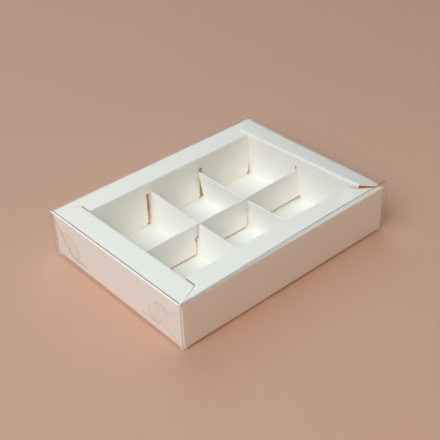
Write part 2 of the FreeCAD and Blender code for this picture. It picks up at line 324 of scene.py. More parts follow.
def make_fold_tree():
    tree = bpy.data.node_groups.new("fold_sheet", "GeometryNodeTree")
    tree.interface.new_socket("Blank", in_out="INPUT", socket_type="NodeSocketGeometry")
    for title in FOLD_SIZES:
        tree.interface.new_socket(title, in_out="INPUT", socket_type="NodeSocketFloat")
    tree.interface.new_socket("Material", in_out="INPUT", socket_type="NodeSocketMaterial")
    tree.interface.new_socket("Folded", in_out="OUTPUT", socket_type="NodeSocketGeometry")
    given = add_node(tree, "NodeGroupInput")
    reach, height, rim, lip, crease, end, end_crease, turn, wave = (
        Field(tree, given.outputs[title]) for title in FOLD_SIZES)
    position = add_node(tree, "GeometryNodeInputPosition")
    flat = add_node(tree, "ShaderNodeSeparateXYZ", None, {0: position.outputs[0]})
    u = Field(tree, flat.outputs["X"])
    s = Field(tree, flat.outputs["Y"])
    lift, bow = (
        Field(tree, add_node(tree, "GeometryNodeInputNamedAttribute", {"data_type": "FLOAT"},
                             {"Name": title}).outputs[0])
        for title in ("lift", "bow"))

    # Across the folds: straight stretches, and a quarter arc at the foot, the rim and the inner edge.
    arc = crease * QUARTER_TURN
    foot_fold = lip - crease
    wall_start = foot_fold + arc
    rim_fold = wall_start + height - crease * 2
    rim_start = rim_fold + arc
    inner_fold = rim_start + rim - crease * 2
    inner_start = inner_fold + arc
    foot_turn, rim_turn, inner_turn = (
        ((s - start) / crease).at_least(0.0).at_most(QUARTER_TURN)
        for start in (foot_fold, rim_fold, inner_fold))
    depth = (lip - s.at_most(foot_fold) - crease * foot_turn.sine() + crease * rim_turn.drop()
             + (s - rim_start).at_least(0.0).at_most(rim - crease * 2) + crease * inner_turn.sine())
    level = (crease * foot_turn.drop() + (s - wall_start).at_least(0.0).at_most(height - crease * 2)
             + crease * rim_turn.sine() - crease * inner_turn.drop() - (s - inner_start).at_least(0.0))

    # Along the side: the wall's ends turn in behind the next side. A bow moves the sheet outwards.
    on_wall = s.math("LESS_THAN", rim_fold)
    past = (u.math("ABSOLUTE") - end + end_crease).at_least(0.0) * on_wall
    end_turn = (past / end_crease).at_most(QUARTER_TURN)
    along = u.math("ABSOLUTE") - past + end_crease * end_turn.sine() + bow * end_turn.sine()
    along = along * u.math("SIGN")
    depth = (depth + end_crease * end_turn.drop() + (past - end_crease * QUARTER_TURN).at_least(0.0)
             - bow * end_turn.math("COSINE"))
    level = level + lift

    # No sheet lies quite flat: it swells by its wave, most at the top.
    folded = add_node(tree, "ShaderNodeCombineXYZ", None, {
        0: along.socket, 1: (depth - reach).socket, 2: level.socket})
    around = add_node(tree, "ShaderNodeVectorRotate", {"rotation_type": "Z_AXIS"}, {
        "Vector": folded.outputs[0], "Angle": turn.socket})
    ripple = add_node(tree, "ShaderNodeTexNoise", None, {
        "Vector": around.outputs[0], "Scale": 1 / RIPPLE, "Detail": 0.0})
    centred = add_node(tree, "ShaderNodeVectorMath", {"operation": "SUBTRACT"}, {
        0: ripple.outputs["Color"], 1: (0.5, 0.5, 0.5)})
    swell = add_node(tree, "ShaderNodeVectorMath", {"operation": "SCALE"}, {
        0: centred.outputs[0], "Scale": (wave * 2 * level / height).socket})
    moved = add_node(tree, "ShaderNodeVectorMath", {"operation": "ADD"}, {
        0: around.outputs[0], 1: swell.outputs[0]})
    placed = add_node(tree, "GeometryNodeSetPosition", None, {
        "Geometry": given.outputs["Blank"], "Position": moved.outputs[0]})
    real = add_node(tree, "GeometryNodeRealizeInstances", None, {"Geometry": placed.outputs[0]})
    faced = add_node(tree, "GeometryNodeSetMaterial", None, {
        "Geometry": real.outputs[0], "Material": given.outputs["Material"]})
    add_node(tree, "NodeGroupOutput", None, {"Folded": faced.outputs[0]})
    return tree


FOLD_TREE = make_fold_tree()
TURNS = {"front": 0.0, "right": QUARTER_TURN, "back": 2 * QUARTER_TURN, "left": 3 * QUARTER_TURN}


# Flat shapes, and amounts that change along a side.
def spread(start, stop, step):
    """Evenly spaced places from start to stop, about a step apart."""
    count = max(1, round(abs(stop - start) / step))
    return [start + (stop - start) * place / count for place in range(count + 1)]


def inside(start, stop, step):
    """Evenly spaced places between start and stop, without these two."""
    return spread(start, stop, step)[1:-1]


def arc_points(centre, radius, start, stop, steps):
    turns = [start + (stop - start) * step / steps for step in range(steps + 1)]
    return [(centre[0] + radius * math.cos(turn), centre[1] + radius * math.sin(turn)) for turn in turns]


def mirrored_ends(right_side):
    """The left side of an outline, passed the other way, from its right side."""
    return [(-u, s) for u, s in reversed(right_side)]


def part_way(value, start, stop):
    """0 before start, 1 past stop, and an even slope between."""
    return min(1.0, max(0.0, (value - start) / (stop - start)))


def smooth(value, start, stop):
    """0 before start, 1 past stop, and an easy slope between."""
    share = part_way(value, start, stop)
    return share * share * (3 - 2 * share)


def between(start, stop, share):
    return start + (stop - start) * share


def amount_at(place, points):
    """The amount at a place along a side, from a few points of (place, amount) with even slopes."""
    start, amount = points[0]
    for stop, next_amount in points[1:]:
        if place < stop:
            return between(amount, next_amount, part_way(place, start, stop))
        start, amount = stop, next_amount
    return amount


# Blanks and folded pieces. A sheet's finishes have these places in its list of materials.
FACE = 0
REVERSE = 1
CUT_EDGE = 2
CUT_TOLERANCE = 1e-7
WELD_DISTANCE = 1e-6
SHARP_ANGLE = math.radians(40)
END_CREASE = 0.6 * MM
# A metre along, past the end of every side, for sheets whose ends don't turn in.
NO_ENDS = 1.0


def cut_blank(name, outline, along, across, holes=(), slants=(), lift=None, bow=None):
    """A flat die-cut sheet, with cuts along and across it so that it can bend.

    Its rules give how far each place is lifted, and how far it bows outwards, once it is folded."""
    shape = bmesh.new()
    edges = []
    for loop in (outline, *holes):
        corners = [shape.verts.new((u, s, 0)) for u, s in loop]
        edges += [shape.edges.new((a, b)) for a, b in zip(corners, corners[1:] + corners[:1])]
    if holes:
        bmesh.ops.triangle_fill(shape, edges=edges, use_beauty=True, normal=(0, 0, 1))
    else:
        shape.faces.new(corners)
    planes = [(Vector((u, 0, 0)), Vector((1, 0, 0))) for u in along]
    planes += [(Vector((0, s, 0)), Vector((0, 1, 0))) for s in across]
    planes += slants
    for place, normal in planes:
        everything = shape.verts[:] + shape.edges[:] + shape.faces[:]
        bmesh.ops.bisect_plane(shape, geom=everything, dist=CUT_TOLERANCE, plane_co=place, plane_no=normal)
    bmesh.ops.remove_doubles(shape, verts=shape.verts[:], dist=WELD_DISTANCE)
    mesh = bpy.data.meshes.new(name)
    shape.to_mesh(mesh)
    shape.free()
    for title, rule in (("lift", lift), ("bow", bow)):
        values = [rule(v.co.x, v.co.y) if rule else 0.0 for v in mesh.vertices]
        mesh.attributes.new(title, "FLOAT", "POINT").data.foreach_set("value", values)
    return mesh


def settled(piece):
    """The plain mesh that a piece's modifiers make, in place of its old one."""
    evaluated = piece.evaluated_get(bpy.context.evaluated_depsgraph_get())
    mesh = bpy.data.meshes.new_from_object(evaluated)
    piece.modifiers.clear()
    piece.data = mesh
    return mesh


def fold(name, blank, folds, reach, turn, thickness, finishes, wave, end=NO_ENDS, end_crease=END_CREASE):
    """Folds a blank and gives it its thickness; finishes are its face, its reverse and its cut edge."""
    piece = bpy.data.objects.new(name, blank)
    bpy.context.scene.collection.objects.link(piece)
    bend = piece.modifiers.new("fold", "NODES")
    bend.node_group = FOLD_TREE
    values = dict(zip(FOLD_SIZES, (reach, folds.height, folds.rim_width, folds.lip_width, folds.crease,
                                   end, end_crease, turn, wave)))
    values["Material"] = finishes[FACE]
    for socket in FOLD_TREE.interface.items_tree:
        if socket.in_out == "INPUT" and socket.name in values:
            bend[socket.identifier] = values[socket.name]
    mesh = settled(piece)
    mesh.materials.clear()
    for finish in finishes:
        mesh.materials.append(finish)
    wall = piece.modifiers.new("thickness", "SOLIDIFY")
    wall.thickness = thickness
    wall.offset = -1
    wall.use_even_offset = True
    wall.material_offset = REVERSE
    wall.material_offset_rim = CUT_EDGE
    mesh = settled(piece)
    for title in ("lift", "bow"):
        mesh.attributes.remove(mesh.attributes[title])
    mesh.shade_smooth()
    mesh.set_sharp_from_angle(angle=SHARP_ANGLE)
    return piece


def refinish(piece, finish, picked):
    """Gives the picked faces of a piece another finish."""
    piece.data.materials.append(finish)
    place = len(piece.data.materials) - 1
    for face in piece.data.polygons:
        if picked(face):
            face.material_index = place


# Shape of the tray's folds. The right side has been creased softly, so its bends are rounder.
BOARD_CREASE = 0.6 * MM
ROUND_CREASE = 1.4 * MM
BASE_LIP = 1.6 * MM
BOARD_WAVE = 0.1 * MM
TRAY_FOLDS = Folds(TRAY_HEIGHT, RIM, BASE_LIP, BOARD_CREASE)
ROUND_FOLDS = Folds(TRAY_HEIGHT, RIM, BASE_LIP, ROUND_CREASE)
SIDE_FOLDS = {"front": TRAY_FOLDS, "back": TRAY_FOLDS, "left": TRAY_FOLDS, "right": ROUND_FOLDS}
# The reverse of the tray's sheets lies inside the hollow walls and gets the painted warm shade and glow.
TRAY_FINISHES = (COATED, HOLLOW_PAINTED_SHADE_GLOW, CUT_BOARD)

# Spacing of the cuts that let the tray's sheets bend.
CREASE_STEPS = 6
BOARD_CORNER_STEPS = 4
RIM_CUTS = 2.4 * MM
INNER_WALL_CUTS = 4 * MM
OUTER_WALL_CUTS = 5 * MM
LONG_SIDE_CUTS = 4 * MM
SHORT_SIDE_CUTS = 5 * MM
BASE_CUTS = 6 * MM


def tray_cuts(folds):
    """Cuts across a tray side: close together in its creases, wider on its panels."""
    across = folds.rounds(CREASE_STEPS)
    across += inside(folds.rim_start, folds.inner_fold, RIM_CUTS)
    across += inside(folds.inner_start, folds.inner(0), INNER_WALL_CUTS)
    across += inside(folds.wall_start, folds.rim_fold, OUTER_WALL_CUTS)
    return across


def corner_cuts(end, crease, steps):
    """Cuts through the creases at both ends of a side."""
    right_cuts = spread(end, end + crease * QUARTER_TURN, crease / steps)
    return right_cuts + [-u for u in right_cuts]


# Slots, open at the foot of a wall. Where they stand varies by up to a millimetre, as the box is folded
# by hand.
SLOT_WIDTH = 2.0 * MM
SLOT_HEAD_RADIUS = 1.3 * MM
SHORT_SLOT_WIDTH = 1.2 * MM
SHORT_SLOT_RADIUS = 0.8 * MM
SLOT_HEADROOM = 1.0 * MM
SLOT_HEAD = DIVIDER_TOP + SLOT_HEADROOM
MOUTH_WIDTH = 4.4 * MM
MOUTH_HEIGHT = 2.4 * MM
HEAD_STEPS = 12
LONG_SLOTS = {"front": (-CROSS_X, CROSS_X), "back": (-CROSS_X - 0.9 * MM, CROSS_X + 0.5 * MM)}
SHORT_SLOTS = {"left": 0.0, "right": 0.65 * MM}


def keyhole(centre, foot, head, width, radius):
    """A slot up from a foot edge, from left to right: flared mouth, straight sides, round head."""
    half = width / 2
    low_turn = math.acos(half / radius)
    round_head = arc_points((centre, head - radius), radius, math.pi + low_turn, -low_turn, HEAD_STEPS)
    return [(centre - MOUTH_WIDTH / 2, foot), (centre - half, foot + MOUTH_HEIGHT), *round_head,
            (centre + half, foot + MOUTH_HEIGHT), (centre + MOUTH_WIDTH / 2, foot)]


def foot_edge(folds, slots, foot, width, radius):
    """The foot of an inner wall from right to left, with its slots."""
    edge = []
    for centre in slots:
        edge += keyhole(centre, foot, SLOT_HEAD, width, radius)
    return [(u, folds.inner(level)) for u, level in reversed(edge)]


# Edges in painted warm shade are picked by their place and by their slope, the share of a face's normal
# that points up
# or down: a level face has more than the first share here, and a steep one less than the second.
WALL_SPACE = 5 * MM
LEVEL_SLOPE = 0.9
STEEP_SLOPE = 0.5


def on_slot(face):
    """Cut edges of the slots in the inner walls, which get painted warm shade."""
    x, y, z = face.center
    near_walls = abs(x) < OPENING_X + WALL_SPACE and abs(y) < OPENING_Y + WALL_SPACE
    slot_edge = face.material_index == CUT_EDGE and abs(face.normal.z) < LEVEL_SLOPE
    return slot_edge and near_walls and z < SLOT_HEAD + BOARD


def on_mitre(face):
    """Cut edges of a rim's mitres and slits, which get painted warm shade too."""
    steep_edge = face.material_index == CUT_EDGE and abs(face.normal.z) < STEEP_SLOPE
    return steep_edge and face.center.z > TRAY_HEIGHT - 2 * BOARD


# How far the inner edge of each rim, and the foot of each inner wall, has moved out of true: points along
# the side. The right wall's foot has swung out into the hollow, least in the back corner, and has taken
# the rim's inner edge with it, most at its front ear.
EDGE_OUT = {
    "front": ((-OPENING_X, -0.7 * MM), (OPENING_X, 0.0)),
    "back": ((0.0, 0.15 * MM),),
    "left": ((-OPENING_Y, 0.6 * MM), (OPENING_Y, -0.3 * MM)),
    "right": ((-50 * MM, 2.8 * MM), (-35 * MM, 1.2 * MM), (-15 * MM, 1.2 * MM), (30 * MM, 0.0)),
}
FOOT_OUT = {
    "front": ((0.0, 0.4 * MM),),
    "back": ((0.0, 0.3 * MM),),
    "left": ((0.0, 0.4 * MM),),
    "right": ((-15 * MM, 4.8 * MM), (25 * MM, 3.3 * MM), (41 * MM, 1.4 * MM)),
}


def moved_out(side):
    """The rule for how far a side's rim and inner wall have moved out."""
    folds = SIDE_FOLDS[side]

    def rule(u, s):
        edge = amount_at(u, EDGE_OUT[side]) * part_way(s, folds.rim_crease, folds.inner_crease)
        foot = amount_at(u, FOOT_OUT[side])
        return between(edge, foot, part_way(s, folds.inner_crease, folds.inner(BOARD)))
    return rule


def right_wall_face(level):
    """How far to the right the middle of the right inner wall stands at a level."""
    edge = amount_at(0.0, EDGE_OUT["right"])
    foot = amount_at(0.0, FOOT_OUT["right"])
    return OPENING_X + between(edge, foot, (TRAY_HEIGHT - level) / (TRAY_HEIGHT - BOARD))


# The base sags under the cells, so that the walls' feet stand clear of the ground between the corners.
FOOT_GAP = 1.0 * MM
FOOT_GAP_LEVEL = 6 * MM
CORNER_FOOT = 5 * MM
CORNER_POST = 1 * MM


def corner_share(place, half):
    """0 along a side and 1 at its ends, where the box stands on its corners."""
    return part_way(abs(place), half - CORNER_FOOT, half - CORNER_POST)


def foot_rise(half):
    """The rule for how far the foot of a side of this half length stands clear of the ground."""
    def rule(u, s):
        foot_share = 1 - part_way(s, TRAY_FOLDS.wall_start, TRAY_FOLDS.wall(FOOT_GAP_LEVEL))
        return FOOT_GAP * foot_share * (1 - corner_share(u, half))
    return rule


long_foot_rise = foot_rise(HALF_LENGTH)
short_foot_rise = foot_rise(HALF_WIDTH)

# The right rim is propped up at its inner edge by its inner wall, least at the back, and lifts the front
# half of its outer edge a little: points along the side.
RIM_CLEARANCE = 0.05 * MM
LOW_SHARE = 0.27
CORNER_LIFT = 0.8 * MM
PROPPED = RIM_SPRING - RIM_CLEARANCE
INNER_EDGE_UP = ((-EAR_Y, PROPPED), (OPENING_Y, PROPPED * LOW_SHARE))
OUTER_EDGE_UP = ((-HALF_WIDTH, 0.0), (-EAR_Y, CORNER_LIFT), (-35 * MM, CORNER_LIFT), (20 * MM, 0.0))


def sprung_rim(u, s):
    """How far the right side is lifted, at its rim and at its foot."""
    folds = ROUND_FOLDS
    inner = amount_at(u, INNER_EDGE_UP)
    outer = amount_at(u, OUTER_EDGE_UP)
    wall_share = part_way(s, folds.wall_start, folds.rim_crease)
    rim_share = part_way(s, folds.rim_crease, folds.inner_crease)
    foot_share = part_way(s, folds.inner_crease, folds.inner(BOARD))
    rim_rise = (outer * wall_share + (inner - outer) * rim_share) * (1 - foot_share)
    return rim_rise + short_foot_rise(u, s)


# The front rim's free right end is twisted: its mitre has come up, its inner edge has sunk.
TIP_RISE = 1.8 * MM
TIP_SINK = 1.0 * MM
TIP_LENGTH = 16 * MM
TIP_END = OPENING_X - 0.6 * MM


def twisted_tip(u, s):
    """How far the front side is lifted, at its twisted tip and at its foot."""
    folds = TRAY_FOLDS
    slit_depth = folds.rim(HALF_WIDTH - EAR_Y)
    end_share = smooth(u, TIP_END - TIP_LENGTH, TIP_END)
    mitre_share = part_way(s, folds.rim_crease, slit_depth)
    edge_share = part_way(s, slit_depth, folds.inner_crease)
    rise = TIP_RISE * mitre_share * (1 - edge_share)
    sunk = TIP_SINK * edge_share
    wall_share = 1 - smooth(s, folds.inner_crease, folds.inner(LONG_WALL_FOOT))
    return (rise - sunk * wall_share) * end_share + long_foot_rise(u, s)


LIFTS = {"front": twisted_tip, "back": long_foot_rise, "left": short_foot_rise, "right": sprung_rim}

# Short sides. The ears of an inner wall hang in slits at the ends of the long rims.
SHORT_WALL_END = HALF_WIDTH - BOARD
EAR_TAPER = 5 * MM
EARS = {"left": (EAR_Y, EAR_Y), "right": (EAR_Y - 0.9 * MM, EAR_Y)}


def short_side_end(folds, ear):
    """One end of a short side, from the base's lip up to its mitre and down the ear of its inner wall."""
    return [
        (HALF_WIDTH - BASE_LIP, folds.lip(BASE_LIP)),
        (SHORT_WALL_END, folds.foot_crease),
        (SHORT_WALL_END, folds.rim_crease),
        (HALF_WIDTH, folds.rim_crease),
        (ear, folds.inner_crease),
        (ear, folds.inner(BOARD + EAR_TAPER)),
        (ear - EAR_TAPER, folds.inner(BOARD)),
    ]


def short_side(side):
    name = f"side_{side}_board"
    folds = SIDE_FOLDS[side]
    left_end, right_end = (short_side_end(folds, ear) for ear in EARS[side])
    slots = foot_edge(folds, (SHORT_SLOTS[side],), BOARD, SHORT_SLOT_WIDTH, SHORT_SLOT_RADIUS)
    outline = right_end + slots + mirrored_ends(left_end)
    along = inside(-SHORT_WALL_END, SHORT_WALL_END, SHORT_SIDE_CUTS)
    blank = cut_blank(name, outline, along, tray_cuts(folds), lift=LIFTS[side], bow=moved_out(side))
    return fold(name, blank, folds, HALF_LENGTH, TURNS[side], BOARD, TRAY_FINISHES, BOARD_WAVE)


# Long sides. Their outer walls end in the corner flaps. Their rims are cut short by a slit's gap, or
# reach past the slit where the gap is less than nothing.
CORNER_PLAY = 0.05 * MM
FLAP_END = HALF_LENGTH - BOARD - CORNER_PLAY
LONG_WALL_END = FLAP_END - END_CREASE
FLAP_TRIM = 3 * MM
MITRE_SHARE = 0.5
WALL_TRIM = 1.2 * MM
WALL_END_PLAY = 0.05 * MM
WALL_END_SPREAD = 1.0 * MM
WALL_END_CUT = 0.4 * MM
WALL_END_LEVEL = 10 * MM
SLIT_GAPS = {"front": (0.8 * MM, -0.6 * MM), "back": (0.1 * MM, 0.2 * MM)}


def bend_slack(crease):
    """How much shorter a flat blank is than the two panels that meet at a bend in it."""
    return crease * (2 - QUARTER_TURN)


def long_side_end(slit_gap):
    """One end of a long side, from the base's lip out to its corner flap and in to the wall's foot."""
    folds = TRAY_FOLDS
    foot = LONG_WALL_FOOT
    flap_tip = FLAP_END + FLAP_TIP - bend_slack(END_CREASE)
    flap_low = folds.wall(BOARD + BOARD_CREASE)
    flap_high = folds.wall(TRAY_HEIGHT - BOARD - BOARD_CREASE)
    slit = OPENING_X - slit_gap
    mitre_cut = max(0, slit_gap)
    wall_tip = OPENING_X - WALL_END_PLAY
    return [
        (HALF_LENGTH - BASE_LIP, folds.lip(BASE_LIP)),
        (LONG_WALL_END, folds.foot_crease),
        (LONG_WALL_END, flap_low),
        (flap_tip - FLAP_TRIM, flap_low),
        (flap_tip, flap_low + FLAP_TRIM),
        (flap_tip, flap_high - FLAP_TRIM),
        (flap_tip - FLAP_TRIM, flap_high),
        (LONG_WALL_END, flap_high),
        (LONG_WALL_END, folds.rim_crease),
        (HALF_LENGTH - mitre_cut, folds.rim_crease),
        (slit, folds.rim(HALF_WIDTH - EAR_Y) - mitre_cut * MITRE_SHARE),
        (slit, folds.inner_crease),
        (wall_tip, folds.inner_crease),
        (wall_tip + WALL_END_SPREAD, folds.inner(WALL_END_LEVEL)),
        (wall_tip - WALL_END_CUT, folds.inner(foot + WALL_TRIM)),
        (wall_tip - WALL_END_CUT - WALL_TRIM, folds.inner(foot)),
    ]


def long_side(side):
    name = f"side_{side}_board"
    folds = SIDE_FOLDS[side]
    left_end, right_end = (long_side_end(gap) for gap in SLIT_GAPS[side])
    slots = foot_edge(folds, LONG_SLOTS[side], LONG_WALL_FOOT, SLOT_WIDTH, SLOT_HEAD_RADIUS)
    outline = right_end + slots + mirrored_ends(left_end)
    along = inside(-LONG_WALL_END, LONG_WALL_END, LONG_SIDE_CUTS)
    along += corner_cuts(LONG_WALL_END, END_CREASE, BOARD_CORNER_STEPS)
    blank = cut_blank(name, outline, along, tray_cuts(folds), lift=LIFTS[side], bow=moved_out(side))
    return fold(name, blank, folds, HALF_WIDTH, TURNS[side], BOARD, TRAY_FINISHES, BOARD_WAVE, FLAP_END)


def tray():
    for side in ("left", "right"):
        piece = short_side(side)
        refinish(piece, PAINTED_WARM_SHADE, on_slot)
        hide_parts(f"short_outer_wall_{side}", f"short_rim_{side}", f"short_inner_wall_{side}")
        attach(piece, "tray")
    for side in ("front", "back"):
        piece = long_side(side)
        refinish(piece, PAINTED_WARM_SHADE, on_slot)
        if side == "front":
            refinish(piece, PAINTED_WARM_SHADE, on_mitre)
        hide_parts(f"long_outer_wall_{side}", f"long_rim_{side}", f"long_inner_wall_{side}",
                    f"corner_flap_{side}_left", f"corner_flap_{side}_right")
        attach(piece, "tray")


# Base. What can be seen of it is the floor of the cells; past that it lies in the hollow walls.
FLOOR_X = OPENING_X + 4.9 * MM
FLOOR_Y = OPENING_Y + 0.9 * MM
BASE_FOLDS = Folds(TRAY_HEIGHT, RIM, 2 * HALF_WIDTH - BASE_LIP, BOARD_CREASE)
BASE_FINISHES = (COATED, UNCOATED, CUT_BOARD)
BASE_END_X = HALF_LENGTH - BASE_LIP
BASE_END_Y = HALF_WIDTH - BASE_LIP


def base_rise(u, s):
    """The base lies on the ground under the cells and at its corners, and rises to the walls' feet."""
    y = BASE_FOLDS.lip_width - s - HALF_WIDTH
    outside = max(part_way(abs(u), FLOOR_X, BASE_END_X), part_way(abs(y), FLOOR_Y, BASE_END_Y))
    corner = min(corner_share(u, HALF_LENGTH), corner_share(y, HALF_WIDTH))
    return FOOT_GAP * outside * (1 - corner)


def in_hollow(face):
    """Parts of the base's upper face that lie in the hollow walls, which get the painted warm shade and
    glow.
    """
    past_floor = abs(face.center.x) > FLOOR_X or abs(face.center.y) > FLOOR_Y
    return face.normal.z > STEEP_SLOPE and past_floor


def base():
    near = BASE_FOLDS.lip(BASE_LIP)
    outline = [(-BASE_END_X, 0), (BASE_END_X, 0), (BASE_END_X, near), (-BASE_END_X, near)]
    corner_x = HALF_LENGTH - CORNER_FOOT
    corner_y = HALF_WIDTH - CORNER_FOOT
    along = [-corner_x, *spread(-FLOOR_X, FLOOR_X, BASE_CUTS), corner_x]
    rows = [-corner_y, *spread(-FLOOR_Y, FLOOR_Y, BASE_CUTS), corner_y]
    across = [BASE_FOLDS.lip(HALF_WIDTH + y) for y in rows]
    blank = cut_blank("base_board", outline, along, across, lift=base_rise)
    piece = fold("base_board", blank, BASE_FOLDS, HALF_WIDTH, 0.0, BOARD, BASE_FINISHES, 0.0)
    refinish(piece, HOLLOW_PAINTED_SHADE_GLOW, in_hollow)
    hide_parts("tray_base_panel")
    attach(piece, "tray")


# Dividers: single walls, so the folds of their blanks lie under and above them and are never reached.
DIVIDER_LIP = 1 * MM
DIVIDER_CREASE = 0.1 * MM
DIVIDER_FOLDS = Folds(TRAY_HEIGHT, RIM, DIVIDER_LIP, DIVIDER_CREASE)
DIVIDER_FINISHES = (COATED, COATED, CUT_BOARD)
DIVIDER_BOARD = 0.8 * MM
DIVIDER_CUTS = 4 * MM
DIVIDER_ROWS = 2.5 * MM

# Laps, where the dividers are slotted into each other, and the painted warm shade beside them and along the
# long divider's foot.
LAP_WIDTH = 2.0 * MM
LAP_HEAD_RADIUS = 1.9 * MM
LAP_LEVEL = 12.33 * MM
LAP_PLAY = 1.4 * MM
LAP_PLACES = (-CROSS_X + 1.1 * MM, CROSS_X + 0.9 * MM)
LAP_BACK = 0.2 * MM
LAP_SHADE_SPAN = (-0.6 * MM, 1.2 * MM)
LAP_SHADE_DEPTH = 5 * MM
PAINTED_SHADE_BAND = 0.7 * MM


def divider(name, node, outline, reach, turn, lean, lift, painted_shades, extra_cuts=()):
    """A divider from its outline, with finishes that paint warm shade on some of its faces, each with its
    rule.
    """
    half = max(u for u, level in outline)
    foot = min(level for u, level in outline)
    top = max(level for u, level in outline)
    flat = [(u, DIVIDER_FOLDS.wall(level)) for u, level in outline]
    along = inside(-half, half, DIVIDER_CUTS) + list(extra_cuts)
    levels = inside(foot, top, DIVIDER_ROWS) + [foot + PAINTED_SHADE_BAND]
    across = [DIVIDER_FOLDS.wall(level) for level in levels]
    blank = cut_blank(name, flat, along, across, lift=lift, bow=lean)
    piece = fold(name, blank, DIVIDER_FOLDS, reach, turn, DIVIDER_BOARD, DIVIDER_FINISHES, 0.0)
    for finish, picked in painted_shades:
        refinish(piece, finish, picked)
    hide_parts(node)
    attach(piece, "tray")


def painted_shade_edge(face):
    """A divider's cut edges, but for its top edge, which get painted warm shade."""
    return face.material_index == CUT_EDGE and face.normal.z < STEEP_SLOPE


def level_share(s):
    """0 at the floor and 1 at a divider's top."""
    return part_way(s, DIVIDER_FOLDS.wall(BOARD), DIVIDER_FOLDS.wall(DIVIDER_TOP))


def far_share(u):
    """0 at the front end of a cross divider and 1 at its far end."""
    return part_way(-u, -OPENING_Y, OPENING_Y)


# The long divider stands a little to the front, and its right end has climbed a little in its slot. It
# ends on the right inner wall, but for a low tongue that has gone through the slot.
LONG_FOOT_SINK = 0.4 * MM
LONG_FOOT = LONG_DIVIDER_FOOT - LONG_FOOT_SINK
LONG_OUT_AT_FOOT = 0.5 * MM
LONG_OUT_AT_TOP = 0.8 * MM
LONG_RISE = 1.3 * MM
LONG_RISE_START = 20 * MM
LONG_TONGUE_LEVEL = 4 * MM


def long_lean(u, s):
    return between(LONG_OUT_AT_FOOT, LONG_OUT_AT_TOP, level_share(s))


def long_rise(u, s):
    return LONG_RISE * part_way(u, LONG_RISE_START, OPENING_X)


def long_painted_shade(face):
    """The long divider's cut edges, and a band along its foot, in painted warm shade for the shaded gap
    under it.
    """
    band_top = LONG_FOOT + long_rise(face.center.x, 0) + PAINTED_SHADE_BAND
    return painted_shade_edge(face) or face.center.z < band_top


def long_divider():
    outline = [(-LONG_DIVIDER_END, LONG_FOOT)]
    for centre in LAP_PLACES:
        outline += keyhole(centre, LONG_FOOT, LAP_LEVEL + LAP_PLAY, LAP_WIDTH, LAP_HEAD_RADIUS)
    outline += [
        (LONG_DIVIDER_END, LONG_FOOT),
        (LONG_DIVIDER_END, LONG_TONGUE_LEVEL),
        (right_wall_face(LONG_TONGUE_LEVEL), LONG_TONGUE_LEVEL),
        (right_wall_face(DIVIDER_TOP), DIVIDER_TOP),
        (-LONG_DIVIDER_END, DIVIDER_TOP),
    ]
    divider("long_divider_board", "long_divider", outline, DIVIDER_BOARD / 2, 0.0, long_lean, long_rise,
            [(PAINTED_WARM_SHADE, long_painted_shade)])


# The left cross divider leans to the right, more at its front end, and stands up at its far end, where it
# has left its slot.
LEFT_OUT_AT_FOOT = -0.65 * MM
LEFT_OUT_AT_FRONT_TOP = -3.0 * MM
LEFT_OUT_AT_FAR_TOP = -2.3 * MM
LEFT_RISE = 1.7 * MM
LEFT_RISE_START = 4 * MM


def left_lean(u, s):
    top = between(LEFT_OUT_AT_FRONT_TOP, LEFT_OUT_AT_FAR_TOP, far_share(u))
    return between(LEFT_OUT_AT_FOOT, top, level_share(s))


def left_rise(u, s):
    return LEFT_RISE * smooth(-u, LEFT_RISE_START, OPENING_Y) * level_share(s)


# The right cross divider leans to the left behind its lap, and stands almost upright at its front end. It
# turns from one to the other over these shares of its length.
RIGHT_OUT_AT_FRONT_FOOT = -2.2 * MM
RIGHT_OUT_AT_FAR_FOOT = -1.3 * MM
RIGHT_OUT_AT_FRONT_TOP = -0.15 * MM
RIGHT_OUT_AT_FAR_TOP = 2.05 * MM
RIGHT_FOOT_TURN = (0.5, 1.0)
RIGHT_TOP_TURN = (0.0, 0.6)


def right_lean(u, s):
    foot_share = smooth(far_share(u), *RIGHT_FOOT_TURN)
    top_share = smooth(far_share(u), *RIGHT_TOP_TURN)
    foot = between(RIGHT_OUT_AT_FRONT_FOOT, RIGHT_OUT_AT_FAR_FOOT, foot_share)
    top = between(RIGHT_OUT_AT_FRONT_TOP, RIGHT_OUT_AT_FAR_TOP, top_share)
    return between(foot, top, level_share(s))


def shade_behind_lap(face):
    """Painted warm shade and glow on the cross dividers close behind the long divider, where its laps let
    them be seen in shade.
    """
    place = face.center
    below_lap = LAP_LEVEL - LAP_SHADE_DEPTH < place.z < LAP_LEVEL
    return below_lap and LAP_SHADE_SPAN[0] < place.y < LAP_SHADE_SPAN[1] and face.normal.x < 0


# How far the edge of a cross divider drops where its far end passes into the wall.
SHOULDER = 1 * MM


def cross_divider(side, place, lean, lift, wall_gap, sprung_level, lap_front):
    """A cross divider seen from the left; the top of its far end has sprung out of its slot."""
    wall_face = OPENING_Y - wall_gap
    outline = [
        (CROSS_END, BOARD),
        (CROSS_END, DIVIDER_TOP),
        (lap_front, DIVIDER_TOP),
        (lap_front, LAP_LEVEL),
        (LAP_BACK, LAP_LEVEL),
        (LAP_BACK, DIVIDER_TOP),
        (-wall_face, DIVIDER_TOP),
        (-wall_face, sprung_level + SHOULDER),
        (-CROSS_END, sprung_level),
        (-CROSS_END, BOARD),
    ]
    divider(f"cross_divider_{side}_board", f"cross_divider_{side}", outline, DIVIDER_BOARD / 2 - place,
            TURNS["left"], lean, lift, [(PAINTED_WARM_SHADE, painted_shade_edge), (HOLLOW_PAINTED_SHADE_GLOW, shade_behind_lap)], [-y for y in LAP_SHADE_SPAN])


def cross_dividers():
    cross_divider("left", -CROSS_X, left_lean, left_rise,
                  wall_gap=0.3 * MM, sprung_level=8 * MM, lap_front=2.2 * MM)
    cross_divider("right", CROSS_X, right_lean, None,
                  wall_gap=2.1 * MM, sprung_level=1 * MM, lap_front=4.0 * MM)


